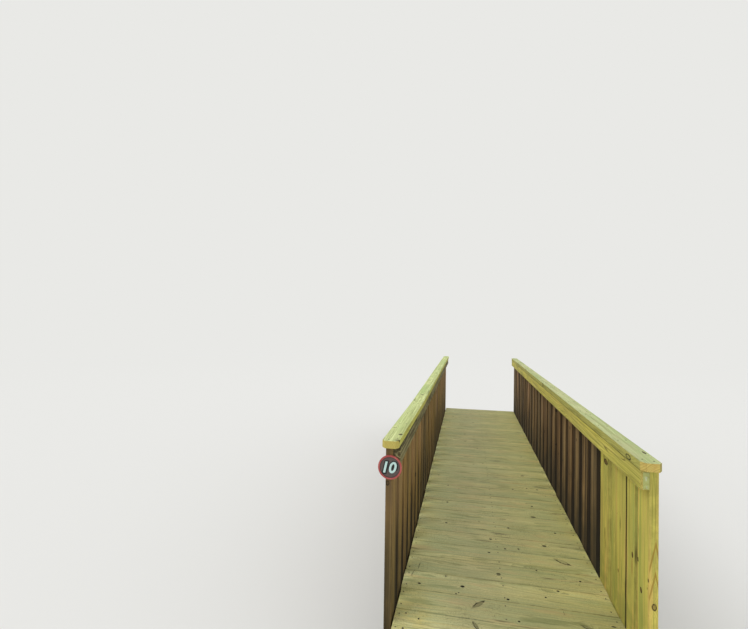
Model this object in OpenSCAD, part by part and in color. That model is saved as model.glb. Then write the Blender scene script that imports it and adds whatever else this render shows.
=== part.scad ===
// Timber footbridge: plank deck on three stringers, with a capped board railing on each side.
// X runs across the bridge, +Y along the walking direction and +Z up.
// The origin is at the middle of the bridge, on the underside of the two sill timbers.

/* [Deck] */
// Number of deck planks laid across the stringers
plank_count = 31; // [20:1:36]
// Width of a dressed deck plank
plank_w = 187; // [140:1:235]
// Open seam between two planks
plank_gap = 3; // [2:0.5:12]
// Thickness of the planks and of every other dressed two-inch board
board_t = 38; // [32:1:45]
// Clear width between the inner faces of the railing boards
rail_clear_w = 1174; // [900:1:1600]
// Open joint between the plank ends and the left railing boards
left_joint = 10; // [2:1:20]
// Open joint between the plank ends and the right railing boards
right_joint = 4; // [3:1:20]
// How far a plank may lie off its place across the bridge
plank_wander = 2; // [0:0.5:2.5]

/* [Frame under the deck] */
// Depth of the stringers
stringer_h = 286; // [235:1:340]
// Side of the square sill timbers
sill_side = 140; // [89:1:190]
// Length of the sill timbers, across the bridge
sill_l = 1400; // [1340:5:2000]
// Distance from the ends of the stringers to the sills
sill_inset = 20; // [0:5:200]
// Rows of blocking between the stringers, not counting the end headers
blocking_rows = 3; // [3:1:3]

/* [Railings] */
// Height of the cap's top above the deck
cap_top = 930; // [850:5:1100]
// Width of the flat cap
cap_w = 89; // [89:1:140]
// Depth of the side rail under the cap
side_rail_h = 89; // [64:1:140]
// Width of a railing board
picket_w = 140; // [89:1:184]
// Length of a railing board
picket_l = 1200; // [1000:5:1210]
// Bays between the boards of the left railing
left_bays = 26; // [20:1:30]
// How far an old board may stand off its place along the bridge
board_wander = 6; // [0:1:10]
// How far the foot of an old board may be off its height
foot_wander = 7; // [0:1:8]
// How far the caps run past the end boards
cap_end = 25; // [10:1:60]
// How far the end boards stand back from the ends of the deck
post_inset = 10; // [0:1:60]
// How much farther the near end of the left railing stands back
left_set_back = 60; // [0:5:120]
// Length of the near one of the two boards that make a cap
cap_near_l = 1120; // [600:10:2400]
// Open joint between the two boards of a cap
cap_joint = 1; // [0.5:0.5:5]
// How far the left cap stands in over the walkway, past its side rail
left_cap_in = 8; // [0:1:8]
// How far the near end of the left cap stands out of line with the rest of it
left_cap_skew = 14; // [0:1:20]
// How far the right cap stands in over the walkway, past its side rail
right_cap_in = 2; // [0:1:8]
// Corner clipped off a cap end, measured across the cap
clip_w = 17; // [5:1:30]
// Corner clipped off a cap end, measured along the cap
clip_l = 25; // [5:1:50]

/* [Repaired end of the right railing] */
// Width of the narrow new board
narrow_w = 108; // [60:1:140]
// Gap between the end board and the narrow board
narrow_gap = 38; // [10:1:80]
// Width of the wide new board
wide_w = 222; // [140:1:286]
// Gap between the narrow board and the wide board
wide_gap = 16; // [3:1:60]
// Gap between the wide board and the last new board
last_gap = 74; // [20:1:120]

/* [Number plaque] */
// Diameter of the plaque
plaque_d = 124; // [80:1:140]
// Thickness of the plaque's plate
plaque_t = 5; // [3:0.5:10]
// Width of the raised rim
rim_w = 11; // [5:1:20]
// Height of the rim above the plate
rim_h = 2; // [1:0.5:4]
// Drop of the plaque's centre below the cap
plaque_drop = 102; // [70:1:200]
// Distance of the plaque's centre from the outer face of the end board
plaque_in = 23; // [20:1:60]

/* [Hidden] */
// Radius of the eased long edges of dressed boards, of deck planks and of sawn timbers
ease_r = 3;
plank_ease_r = 2;
sill_ease_r = 6;
$fn = 32;

plank_pitch = plank_w + plank_gap;
deck_l = plank_count * plank_pitch - plank_gap;
deck_end = deck_l / 2;
stringer_z = sill_side;
plank_z = stringer_z + stringer_h;
deck_z = plank_z + board_t;
cap_z = deck_z + cap_top - board_t;
side_rail_z = cap_z - side_rail_h;

inner_x = rail_clear_w / 2;
bay_x = inner_x - board_t;
post_end = deck_end - post_inset;
right_start = -post_end;
left_start = left_set_back - post_end;

// Near edges of the left railing's boards, both end boards among them
left_pitch = (post_end - picket_w - left_start) / left_bays;
left_y = [for (i = [0:left_bays]) left_start + i * left_pitch];

// Near edges of the right railing's boards: four new ones, then the old ones evenly to the far end
narrow_y = right_start + picket_w + narrow_gap;
wide_y = narrow_y + narrow_w + wide_gap;
last_new_y = wide_y + wide_w + last_gap;
right_run = post_end - picket_w - last_new_y;
right_bays = floor(right_run / left_pitch);
right_pitch = right_run / right_bays;
right_y = [for (i = [1:right_bays - 1]) last_new_y + i * right_pitch];

// The share of a row of things that group number g of n groups holds, as its first and last index
function group_first(count, g, n) = floor((g - 1) * count / n);
function group_last(count, g, n) = floor(g * count / n) - 1;

// Planks and boards set by hand lie a little off their places: number i by this much, up to spread
function uneven(i, spread) = spread * sin(i * 137);

// Cross-section of a sawn board: a rectangle whose corners are eased to the radius r
module eased_section(w, h, r) {
    translate([r, 0]) square([w - 2 * r, h]);
    translate([0, r]) square([w, h - 2 * r]);
    for (x = [r, w - r], y = [r, h - r])
        translate([x, y]) circle(r);
}

// A board that runs along X, w deep along Y and h high
module board_across(l, w, h, r = ease_r) {
    rotate([90, 0, 90]) linear_extrude(l) eased_section(w, h, r);
}

// A board that runs along Y, w wide along X and h high
module board_along(l, w, h, r = ease_r) {
    translate([0, l, 0]) rotate([90, 0, 0]) linear_extrude(l) eased_section(w, h, r);
}

// A board that stands upright, t thick along X and w wide along Y
module board_upright(l, t, w, r = ease_r) {
    linear_extrude(l) eased_section(t, w, r);
}

// The sill timber under one end of the stringers, with its near edge at y
module sill(y) {
    color("#6f6147")
        translate([-sill_l / 2, y, 0])
            board_across(sill_l, sill_side, sill_side, sill_ease_r);
}

// One of the stringers that span from sill to sill, with its left face at x
module stringer(x) {
    color("#857b58")
        translate([x, -deck_end, stringer_z])
            board_along(deck_l, board_t, stringer_h);
}

// A pair of blocks that fills the width between the three stringers, with its near face at y
module cross_blocks(y) {
    block_l = bay_x - board_t / 2;
    color("#857b58")
        for (x = [-bay_x, board_t / 2])
            translate([x, y, stringer_z])
                board_across(block_l, board_t, stringer_h);
}

// One row of blocking: row 0 is the near header, row blocking_rows + 1 the far one
module blocking_row(row) {
    step = (deck_l - board_t) / (blocking_rows + 1);
    cross_blocks(row * step - deck_end);
}

// Group g of the deck planks
module deck_planks(g, groups = 8) {
    plank_l = rail_clear_w - left_joint - right_joint;
    color("#a6a077")
        for (i = [group_first(plank_count, g, groups):group_last(plank_count, g, groups)])
            translate([left_joint - inner_x + uneven(i, plank_wander), i * plank_pitch - deck_end, plank_z])
                board_across(plank_l, plank_w, board_t, plank_ease_r);
}

// A railing board of width w and length l on the outer face of a stringer; side is -1 left, 1 right
module railing_board(side, y, w = picket_w, l = picket_l) {
    translate([side > 0 ? inner_x : -inner_x - board_t, y, cap_z - l])
        board_upright(l, board_t, w);
}

// Old board number i of a side's railing, whose place is y
module old_board(side, i, y) {
    railing_board(side, y + uneven(i, board_wander), picket_w, picket_l + uneven(i + 5, foot_wander));
}

// Group g of the old boards between the left railing's end boards
module left_pickets(g, groups = 5) {
    count = left_bays - 1;
    color("#6b5438")
        for (i = [group_first(count, g, groups):group_last(count, g, groups)])
            old_board(-1, i, left_y[i + 1]);
}

// Group g of the old boards of the right railing
module right_pickets(g, groups = 5) {
    count = len(right_y);
    color("#4e3d2b")
        for (i = [group_first(count, g, groups):group_last(count, g, groups)])
            old_board(1, i, right_y[i]);
}

module left_near_post() {
    color("#6b5438") railing_board(-1, left_start);
}

module left_far_post() {
    color("#6b5438") railing_board(-1, post_end - picket_w);
}

module right_near_post() {
    color("#b4aa5c") railing_board(1, right_start);
}

module right_far_post() {
    color("#4e3d2b") railing_board(1, post_end - picket_w);
}

module right_new_board_narrow() {
    color("#b4aa5c") railing_board(1, narrow_y, narrow_w);
}

module right_new_board_wide() {
    color("#b4aa5c") railing_board(1, wide_y, wide_w);
}

module right_new_board_last() {
    color("#b4aa5c") railing_board(1, last_new_y);
}

// The rail on edge inside the tops of a side's railing boards, from start to the far end
module side_rail(side, start) {
    translate([side > 0 ? bay_x : -inner_x, start, side_rail_z])
        board_along(post_end - start, board_t, side_rail_h);
}

module left_side_rail() {
    color("#756a55") side_rail(-1, left_start);
}

module right_side_rail() {
    color("#b4aa5c") side_rail(1, right_start);
}

// One board of a cap, with clipped corners at its end on the line Y = 0
module cap_board(l) {
    intersection() {
        board_along(l, cap_w, board_t);
        linear_extrude(board_t)
            polygon([
                [clip_w, 0], [cap_w - clip_w, 0],
                [cap_w, clip_l], [cap_w, l],
                [0, l], [0, clip_l]
            ]);
    }
}

// The flat cap of two boards over the side rail and boards that begin at start, with its left edge at x.
// The near end of its near board stands out to the left by skew.
module cap(x, start, skew = 0) {
    joint_y = start - cap_end + cap_near_l;
    cap_stop = post_end + cap_end;
    color("#b9c48a")
        translate([x, 0, cap_z]) {
            translate([0, joint_y, 0])
                rotate([0, 0, -asin(skew / cap_near_l)])
                    translate([0, -cap_near_l, 0])
                        cap_board(cap_near_l);
            translate([0, cap_stop, 0])
                mirror([0, 1, 0])
                    cap_board(cap_stop - joint_y - cap_joint);
        }
}

module left_cap() {
    cap(-bay_x + left_cap_in - cap_w, left_start, left_cap_skew);
}

module right_cap() {
    cap(bay_x - right_cap_in, right_start);
}

// Round plaque with a raised rim, on the near edge of the left end board and rail
module number_plaque() {
    centre_x = plaque_in - inner_x - board_t;
    color("#3f3a3a")
        translate([centre_x, left_start, cap_z - plaque_drop])
            rotate([90, 0, 0])
                difference() {
                    cylinder(d = plaque_d, h = plaque_t + rim_h, $fn = 96);
                    translate([0, 0, plaque_t])
                        cylinder(d = plaque_d - 2 * rim_w, h = 2 * rim_h, $fn = 96);
                }
}

sill(sill_inset - deck_end);  // near_sill
sill(deck_end - sill_inset - sill_side);  // far_sill
stringer(-inner_x);  // left_stringer
stringer(-board_t / 2);  // middle_stringer
stringer(bay_x);  // right_stringer
blocking_row(0);  // near_header
blocking_row(blocking_rows + 1);  // far_header
blocking_row(1);  // near_blocking
blocking_row(2);  // middle_blocking
blocking_row(3);  // far_blocking
for (g = [1:8])
    deck_planks(g);
left_near_post();
left_far_post();
right_near_post();
right_far_post();
for (g = [1:5]) {
    left_pickets(g);
    right_pickets(g);
}
right_new_board_narrow();
right_new_board_wide();
right_new_board_last();
left_side_rail();
right_side_rail();
left_cap();
right_cap();
number_plaque();
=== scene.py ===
"""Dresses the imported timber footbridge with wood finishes, fasteners, small fittings, stage and camera."""

import math
import random
from dataclasses import dataclass

import bmesh
import bpy
from bpy.props import FloatProperty, FloatVectorProperty, IntProperty, PointerProperty, StringProperty
from mathutils import Matrix, Vector


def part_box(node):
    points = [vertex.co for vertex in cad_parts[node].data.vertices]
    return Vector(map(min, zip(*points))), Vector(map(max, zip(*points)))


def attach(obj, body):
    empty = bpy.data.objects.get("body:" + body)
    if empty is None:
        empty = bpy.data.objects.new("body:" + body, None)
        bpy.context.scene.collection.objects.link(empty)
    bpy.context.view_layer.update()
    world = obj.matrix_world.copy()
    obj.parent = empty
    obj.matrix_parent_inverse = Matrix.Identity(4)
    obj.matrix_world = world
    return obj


bl_info = {
    "name": "Timber footbridge dresser",
    "version": (1, 0, 0),
    "blender": (4, 5, 0),
    "location": "3D View > Sidebar > Footbridge",
    "description": "Adds the finishes, fasteners, plaque number and stage to the packed footbridge",
    "category": "Object",
}

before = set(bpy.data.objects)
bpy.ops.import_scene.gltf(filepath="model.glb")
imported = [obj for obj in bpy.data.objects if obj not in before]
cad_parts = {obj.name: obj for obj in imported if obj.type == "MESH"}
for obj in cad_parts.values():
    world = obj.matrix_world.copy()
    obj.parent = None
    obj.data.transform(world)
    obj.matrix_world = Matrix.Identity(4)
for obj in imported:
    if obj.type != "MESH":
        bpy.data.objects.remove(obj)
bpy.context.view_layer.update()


def middle(node):
    """The middle of a CAD node's box."""
    low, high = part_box(node)
    return (low + high) / 2


def numbered(name, count):
    return [f"{name}_{k + 1}" for k in range(count)]


def board_row(near, far, bays):
    """The middle of a row's first board and the pitch of its boards, from the nodes at its ends."""
    first = middle(near)
    return first, (middle(far).y - first.y) / bays


# Groups of CAD nodes that share a finish
DECK_NODES = numbered("deck_planks", 8)
LEFT_OLD_NODES = numbered("left_pickets", 5) + ["left_near_post", "left_far_post"]
RIGHT_OLD_NODES = numbered("right_pickets", 5) + ["right_far_post"]
RIGHT_NEW_NODES = ["right_near_post", "right_new_board_narrow", "right_new_board_wide",
                   "right_new_board_last"]
STRINGER_NODES = ["left_stringer", "middle_stringer", "right_stringer"]
CROSS_NODES = ["near_header", "near_blocking", "middle_blocking", "far_blocking", "far_header"]
SILL_NODES = ["near_sill", "far_sill"]
CAP_NODES = ["left_cap", "right_cap"]

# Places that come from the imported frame, in metres
DECK_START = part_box("deck_planks_1")[0].y
DECK_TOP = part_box("deck_planks_1")[1].z
DECK_MIDDLE_Z = (DECK_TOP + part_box("deck_planks_1")[0].z) / 2
STRINGER_X = [middle(name).x for name in STRINGER_NODES]
STRINGER_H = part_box("left_stringer")[1].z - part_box("left_stringer")[0].z
LEFT_OUTER_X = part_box("left_near_post")[0].x
LEFT_FACE_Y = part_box("left_near_post")[0].y
RIGHT_OUTER_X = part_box("right_near_post")[1].x
RIGHT_INNER_X, RIGHT_FACE_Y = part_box("right_near_post")[0].xy
CAP_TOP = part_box("right_cap")[1].z
RAIL_LOW, RAIL_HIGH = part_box("right_side_rail")
PLAQUE_LOW, PLAQUE_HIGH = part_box("number_plaque")
SLIT_Y = (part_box("right_new_board_narrow")[1].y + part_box("right_new_board_wide")[0].y) / 2

# Counts and sizes of the CAD model that its boxes don't give
PLANK_COUNT = 31
PLANK_PITCH = 0.190
PLANK_W = 0.187
LEFT_BAYS = 26
LEFT_ROW = board_row("left_near_post", "left_far_post", LEFT_BAYS)
RIGHT_OLD_BAYS = 23
RIGHT_ROW = board_row("right_new_board_last", "right_far_post", RIGHT_OLD_BAYS)
BOARD_W = 0.140
CAP_W = 0.089
CAP_NEAR_L = 1.120
RIM_W = 0.011
RIM_RISE = 0.002
RIM_PAINT_R = (PLAQUE_HIGH.x - PLAQUE_LOW.x) / 2 - RIM_W + 0.0025  # the red starts outside the rim's foot

# Fasteners, lettering and tag: their own sizes, where they go, and how far chance moves them
SCREW_T = 0.0014
SCREW_CROWN = 0.0002
SCREW_DRIVE_DEPTH = 0.0010
SCREW_DRIVE_WAIST = (0.62, 0.62, 1.0)
SCREW_ROW_IN = 0.979  # the outer rows of deck screws stand a little inside the middles of their stringers
SCREW_FROM_MIDDLE = 0.058
SCREW_SLACK = (0.004, 0.005, 0.0)
NAIL_T = 0.0016
NAIL_CROWN = 0.0005
NAIL_FROM_MIDDLE = 0.038
NAIL_ROWS = (0.215, 0.350, 1.312)
NAIL_SLACK = (0.0, 0.003, 0.012)
RUST_L = 0.16
CAP_SCREW_FROM_END = 0.050
CAP_SCREW_GAP = 0.40
CAP_SCREW_ROWS = (-0.017, 0.021)  # outwards from the inner faces of the boards
CAP_SCREW_SLACK = (0.004, 0.02, 0.0)
FIGURE_SIZE = 1.40  # size of the lettering for a figure height of 1
FIGURE_SLANT = 0.22
FIGURE_BOLD = 0.035
SAME_PLACE = 0.00005
TAG_T = 0.0006
TAG_CORNER = 0.003
TAG_X = (RAIL_LOW.x + RAIL_HIGH.x) / 2 + 0.005
TAG_Z = (RAIL_LOW.z + RAIL_HIGH.z) / 2 - 0.003
STAPLE_SIZE = (0.011, 0.0012, 0.0007)
STAPLE_BEND = 0.0005
STAPLES = ((0.012, 1.45), (-0.029, 1.70))  # above the tag's middle, and turned in radians

# The photograph's camera, fitted to the edges of deck, caps and end boards
CAMERA_PLACE = (-0.2195, -5.1312, 2.0054)
CAMERA_TURN = math.radians(11.9876)
CAMERA_DOWN = math.radians(-0.8934)
CAMERA_ROLL = math.radians(0.8587)
CAMERA_LENS = 21.193
SENSOR_W = 36.0

# Each lamp's name, strength, angle in degrees and aim
LAMPS = (("key lamp", 0.95, 35, (0.80, 0.55, -1.25)), ("fill lamp", 0.35, 60, (-0.8, 0.3, -0.7)))
SKY_STRENGTH = 0.70
FLOOR_SIZE = 80.0
FLOOR_FADE = (7.0, 22.0)


def linear(value):
    """A display value from 0 to 255 as scene light."""
    value /= 255.0
    return value / 12.92 if value <= 0.04045 else ((value + 0.055) / 1.055) ** 2.4


def rgb(r, g, b):
    return (linear(r), linear(g), linear(b), 1.0)


def tint(title, r, g, b):
    """A colour that a user may change, given by its display values."""
    return FloatVectorProperty(name=title, description=title + ", as seen in plain light", subtype="COLOR",
                               size=4, min=0.0, max=1.0, default=rgb(r, g, b))


def length(title, metres, low, high):
    """A size that a user may change, in metres."""
    return FloatProperty(name=title, description=title, unit="LENGTH", subtype="DISTANCE",
                         default=metres, min=low, max=high)


class FootbridgeColours(bpy.types.PropertyGroup):
    """Main colours of the bridge's woods and fittings."""

    deck_pale: tint("Deck, soft grain", 191, 187, 139)
    deck_dark: tint("Deck, hard grain", 118, 116, 74)
    deck_green: tint("Deck, greenish patches", 152, 163, 123)
    deck_yellow: tint("Deck, yellow patches", 196, 184, 126)
    cap_pale: tint("Cap, soft grain", 214, 219, 160)
    cap_dark: tint("Cap, hard grain", 136, 144, 84)
    # painted shade for the side faces of the caps
    cap_side_painted_shade: tint("Cap, shaded sides", 194, 187, 90)
    new_pale: tint("New boards, soft grain", 220, 209, 100)
    new_dark: tint("New boards, hard grain", 148, 140, 48)
    left_pale: tint("Old left boards, soft grain", 178, 143, 64)
    left_dark: tint("Old left boards, hard grain", 84, 61, 25)
    right_pale: tint("Old right boards, soft grain", 150, 116, 70)
    right_dark: tint("Old right boards, hard grain", 62, 47, 28)
    rail_pale: tint("Old side rail, soft grain", 138, 130, 84)
    rail_dark: tint("Old side rail, hard grain", 66, 60, 32)
    frame_pale: tint("Frame under the deck, soft grain", 138, 130, 90)
    frame_dark: tint("Frame under the deck, hard grain", 96, 88, 56)
    sill_pale: tint("Sills, soft grain", 112, 98, 68)
    sill_dark: tint("Sills, hard grain", 72, 60, 38)
    plaque_field: tint("Plaque's field", 84, 72, 68)
    plaque_rim: tint("Plaque's rim", 168, 66, 64)
    plaque_number: tint("Plaque's number", 196, 228, 222)
    floor: tint("Floor and background", 233, 233, 230)


class FootbridgeSizes(bpy.types.PropertyGroup):
    """Sizes of the fittings that are added to the bridge."""

    deck_screw_d: length("Deck screw's head", 0.0085, 0.004, 0.02)
    nail_d: length("Nail's head", 0.008, 0.004, 0.02)
    number_h: length("Height of the plaque's number", 0.056, 0.02, 0.08)
    number_t: length("Thickness of the plaque's number", 0.0012, 0.0005, 0.004)
    tag_w: length("Width of the end tag", 0.026, 0.01, 0.03)
    tag_h: length("Height of the end tag", 0.076, 0.02, 0.08)
    plaque_text: StringProperty(name="Number", description="Plain number on the plaque", default="10")
    seed: IntProperty(name="Seed", description="Start of the scatter of knots and screws", default=7)


def sign(operation, swapped=False):
    """An arithmetic sign for Value, which adds a Math node."""
    def act(self, *other):
        return self.tree.math(operation, *((*other, self) if swapped else (self, *other)))
    return act


class Value:
    """A number, vector or colour that runs between the nodes of a finish."""

    __add__, __radd__ = sign("ADD"), sign("ADD", swapped=True)
    __sub__, __rsub__ = sign("SUBTRACT"), sign("SUBTRACT", swapped=True)
    __mul__, __rmul__ = sign("MULTIPLY"), sign("MULTIPLY", swapped=True)
    __truediv__, __pow__, __gt__ = sign("DIVIDE"), sign("POWER"), sign("GREATER_THAN")
    __abs__, floor, fraction = sign("ABSOLUTE"), sign("FLOOR"), sign("FRACT")

    def __init__(self, tree, socket):
        self.tree, self.socket = tree, socket

    def span(self, low, high, to_low=0.0, to_high=1.0, smooth=True):
        """The number, carried from low..high to to_low..to_high and held there outside."""
        return self.tree.get("Result", "MapRange", {
            "Value": self, "From Min": low, "From Max": high, "To Min": to_low, "To Max": to_high},
            clamp=True, interpolation_type="SMOOTHSTEP" if smooth else "LINEAR")


class Tree:
    """Short calls that add and link the nodes of a finish. A colour may be three display values."""

    def __init__(self, tree):
        self.tree = tree

    def put(self, socket, value):
        if isinstance(value, Value):
            self.tree.links.new(value.socket, socket)
        else:
            socket.default_value = value

    def add(self, kind, inputs=(), **settings):
        node = self.tree.nodes.new("ShaderNode" + kind)
        for key, value in settings.items():
            setattr(node, key, value)
        for key, value in dict(inputs).items():
            self.put(node.inputs[key], value)
        return node

    def get(self, output, kind, inputs=(), **settings):
        """Adds a node and returns one of its outputs."""
        return Value(self, self.add(kind, inputs, **settings).outputs[output])

    def outputs(self, node):
        return {socket.name: Value(self, socket) for socket in node.outputs}

    def all(self, kind, inputs=(), **settings):
        """Adds a node and returns its outputs by name."""
        return self.outputs(self.add(kind, inputs, **settings))

    def math(self, operation, *values, clamp=False):
        return self.get(0, "Math", enumerate(values), operation=operation, use_clamp=clamp)

    def most(self, a, b):
        return self.math("MAXIMUM", a, b)

    def size_of(self, a, b):
        """Length of the vector (a, b)."""
        return self.math("SQRT", a * a + b * b)

    def either(self, share, a, b):
        """Number a, mixed with number b by share."""
        return self.get(0, "Mix", {0: share, 2: a, 3: b}, data_type="FLOAT")

    def blend(self, share, a, b, kind="MIX"):
        """Colour a, mixed with colour b by share."""
        a, b = (rgb(*c) if isinstance(c, tuple) and len(c) == 3 else c for c in (a, b))
        return self.get(2, "Mix", {0: share, 6: a, 7: b}, data_type="RGBA", blend_type=kind)

    def stain(self, colour, *layers):
        """A colour under layers of stain, each given as its share and its colour."""
        for share, shade in layers:
            colour = self.blend(share, colour, shade)
        return colour

    def xyz(self, x=0.0, y=0.0, z=0.0):
        return self.get(0, "CombineXYZ", {"X": x, "Y": y, "Z": z})

    def parts(self, vector):
        return tuple(self.all("SeparateXYZ", {"Vector": vector}).values())

    def channels(self, colour):
        return tuple(self.all("SeparateColor", {"Color": colour}).values())

    def read(self, coordinate):
        """The surface's Object or Normal coordinates."""
        return self.parts(self.get(coordinate, "TexCoord"))

    def noise(self, point, detail=2.0, rough=0.5, output="Fac"):
        return self.get(output, "TexNoise", {
            "Vector": self.xyz(*point), "Scale": 1.0, "Detail": detail, "Roughness": rough})

    def cloud(self, scale, detail=2.0, rough=0.5, shift=0.0):
        """Noise of one scale in all directions."""
        x, y, z = self.place
        return self.noise((x * scale, y * scale, z * scale + shift), detail, rough)

    def chance(self, number):
        """Three random values from 0 to 1 that belong to a whole number, such as a board's."""
        return self.channels(self.get("Color", "TexWhiteNoise", {"W": number}, noise_dimensions="1D"))

    def group(self, name, inputs, maker):
        """Adds a group, which maker(tree, given) fills at its first use, and returns its outputs by name."""
        group = bpy.data.node_groups.get(name)
        if group is None:
            group = bpy.data.node_groups.new(name, "ShaderNodeTree")
            inner = Tree(group)
            for title, value in inputs.items():
                vector = isinstance(value, Value) and value.socket.type == "VECTOR"
                group.interface.new_socket(title, in_out="INPUT",
                                           socket_type="NodeSocketVector" if vector else "NodeSocketFloat")
            made = maker(inner, inner.outputs(group.nodes.new("NodeGroupInput")))
            for title in made:
                group.interface.new_socket(title, in_out="OUTPUT", socket_type="NodeSocketFloat")
            gives = group.nodes.new("NodeGroupOutput").inputs
            for title, value in made.items():
                inner.put(gives[title], value)
        return self.all("Group", inputs, node_tree=group)

    def surface(self, colour, rough, bump=(), more=()):
        """Ends a finish with its shader. bump is a height, its strength and its distance in metres."""
        values = {"Base Color": colour, "Roughness": rough, **dict(more)}
        if bump:
            values["Normal"] = self.get(0, "Bump", zip(("Height", "Strength", "Distance"), bump))
        self.add("OutputMaterial", {"Surface": self.get(0, "BsdfPrincipled", values)})


def new_finish(name):
    """An empty material with nodes, and its Tree."""
    material = bpy.data.materials.new(name)
    material.use_nodes = True
    material.node_tree.nodes.clear()
    t = Tree(material.node_tree)
    t.place = t.read("Object")
    return material, t


def growth_rings(t, given):
    """Growth rings, fibres, patches, streaks and drying checks of a sawn board.

    Grain is in metres, with X along the grain, Y across the face and Z through the board.
    """
    x, y, z = t.parts(given["Grain"])
    lot = t.chance(given["Board"])
    seed = given["Board"] * 3.17
    # The pith runs beside the board and wanders, so that the faces show arches and the ends show arcs
    pith_drop = -0.035
    drift = t.parts(t.noise((x * 1.1, seed, 3.0), 1.0, output="Color"))
    pith_y = (lot[0] - 0.5) * 0.16 + (drift[0] - 0.5) * 0.10
    pith_z = lot[1] * -0.07 + ((drift[1] - 0.5) * 0.09 + pith_drop)
    radius = t.size_of(y - pith_y, z - pith_z)
    ripple = t.noise((x * 9.0, y * 26.0, z * 26.0 + seed))
    radius = radius + (ripple * 0.009 + given["Knot nearness"] * 0.016)
    uneven = t.noise((radius * 55.0, seed, 0.0), 1.0)
    phase = (radius / given["Ring width"] + uneven * 2.2).fraction()
    vein = t.noise((x * 1.4, y * 34.0, seed + 9.0), 1.0)
    where = t.noise((x * 3.0, y * 12.0, seed + 21.0), 1.0)
    return {
        "Ring": phase ** 2.4 * phase.span(0.93, 1.0, 1.0, 0.0),
        "Fibre": t.noise((x * 6.0, y * 210.0, z * 210.0 + seed), 4.0, 0.7),
        "Patch": t.noise((x * 1.6, y * 7.0, z * 7.0 + seed), 3.0, 0.6),
        "Streak": t.noise((x * 0.9, y * 75.0, z * 40.0 + seed), 3.0, 0.65),
        "Check": abs(vein - 0.5).span(0.022, 0.006) * where.span(0.60, 0.68),
    }


def scattered_knots(t, given):
    """Knots strewn over a board, one in each cell of a jumbled grid, most of them too small to show."""
    x, y, _ = t.parts(given["Grain"])
    step = given["Spacing"] * 0.45
    along = x / given["Spacing"]
    beside = y / step + given["Board"] * 3.31
    cells = t.all("TexVoronoi", {"Vector": t.xyz(along, beside), "Scale": 1.0, "Randomness": 0.8},
                  voronoi_dimensions="2D", feature="F1")
    centre = t.parts(cells["Position"])
    luck = t.channels(cells["Color"])
    dx = (along - centre[0]) * given["Spacing"] * t.either(luck[1], 0.55, 1.0)
    dy = (beside - centre[1]) * step
    needed = 1.0 - given["Share"]
    knot_size = t.most(luck[0].span(needed, 1.0, 0.25, 1.0, smooth=False) * given["Largest"], 0.0002)
    wobble = (t.noise((x * 60.0, y * 60.0), 1.0) - 0.5) * 0.004
    reach = (t.size_of(dx, dy) + wobble) / knot_size
    shown = luck[0] > needed
    return {
        "Core": shown * reach.span(1.0, 0.8),
        "Rim": shown * (reach.span(1.35, 1.0) * reach.span(0.62, 0.9)),
        "Nearness": shown * reach.span(4.5, 0.5),
    }


# Knots that show in the photograph: plank from the near end, metres from the deck's middle line,
# share of the plank's width, and half of the knot's length along and across the grain in millimetres
SEEN_KNOTS = (
    (0, -0.52, 0.84, 4, 4), (0, -0.45, 0.68, 4, 5), (0, -0.52, 0.21, 5, 5),
    (1, 0.06, 0.19, 5, 5), (1, 0.53, 0.56, 10, 4),
    (2, -0.48, 0.32, 9, 6), (2, -0.33, 0.91, 4, 5), (2, -0.23, 0.46, 10, 9), (2, 0.02, 0.12, 7, 6),
    (2, 0.31, 0.90, 7, 6), (2, 0.23, 0.48, 5, 5), (2, -0.265, 0.04, 4, 4), (2, -0.25, 0.11, 4, 4),
    (2, -0.235, 0.02, 5, 4), (2, 0.53, 0.58, 11, 4),
    (3, 0.22, 0.93, 5, 5), (3, 0.46, 0.60, 6, 6), (3, -0.50, 0.40, 3, 3),
    (4, -0.06, 0.74, 8, 6),
    (5, 0.14, 0.22, 6, 6), (5, 0.05, 0.12, 6, 6), (5, -0.04, 0.74, 8, 7), (5, 0.32, 0.67, 12, 10),
    (6, 0.10, 0.84, 7, 7), (6, 0.43, 0.82, 7, 7), (6, -0.36, 0.71, 7, 7),
    (8, 0.31, 0.10, 17, 10), (8, -0.37, 0.80, 8, 8),
    (9, 0.33, 0.23, 7, 7), (10, -0.38, 0.90, 7, 7),
    (11, 0.21, 0.12, 6, 7), (11, 0.34, 0.41, 6, 7), (11, 0.43, 0.35, 7, 7),
)
# Other knots that show, as marked_knots takes them: centre, half sizes along X, Y and Z, how dark
# the middle is, and for a slanted one its turn about Z in degrees
DECK_MARKS = [((x, y, DECK_TOP), (half_l, half_w, 0.02), dark, turn) for x, y, half_l, half_w, dark, turn in (
    (-0.143, -2.625, 0.050, 0.013, 0.55, 50.0), (0.399, -2.056, 0.050, 0.019, 0.25, -36.0),
    (-0.160, -2.802, 0.034, 0.010, 0.60, -65.0), (0.397, -2.686, 0.032, 0.012, 0.50, -23.0),
    (-0.500, -2.318, 0.036, 0.003, 0.50, 84.0), (-0.529, -2.404, 0.034, 0.003, 0.50, 80.0),
    (0.303, -2.596, 0.014, 0.003, 0.20, 92.0), (-0.015, -2.297, 0.011, 0.012, 0.85, 0.0))]
LEFT_BOARD_MARKS = [((-0.614, LEFT_FACE_Y, 1.171), (0.008, 0.02, 0.012), 0.6)]
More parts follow.
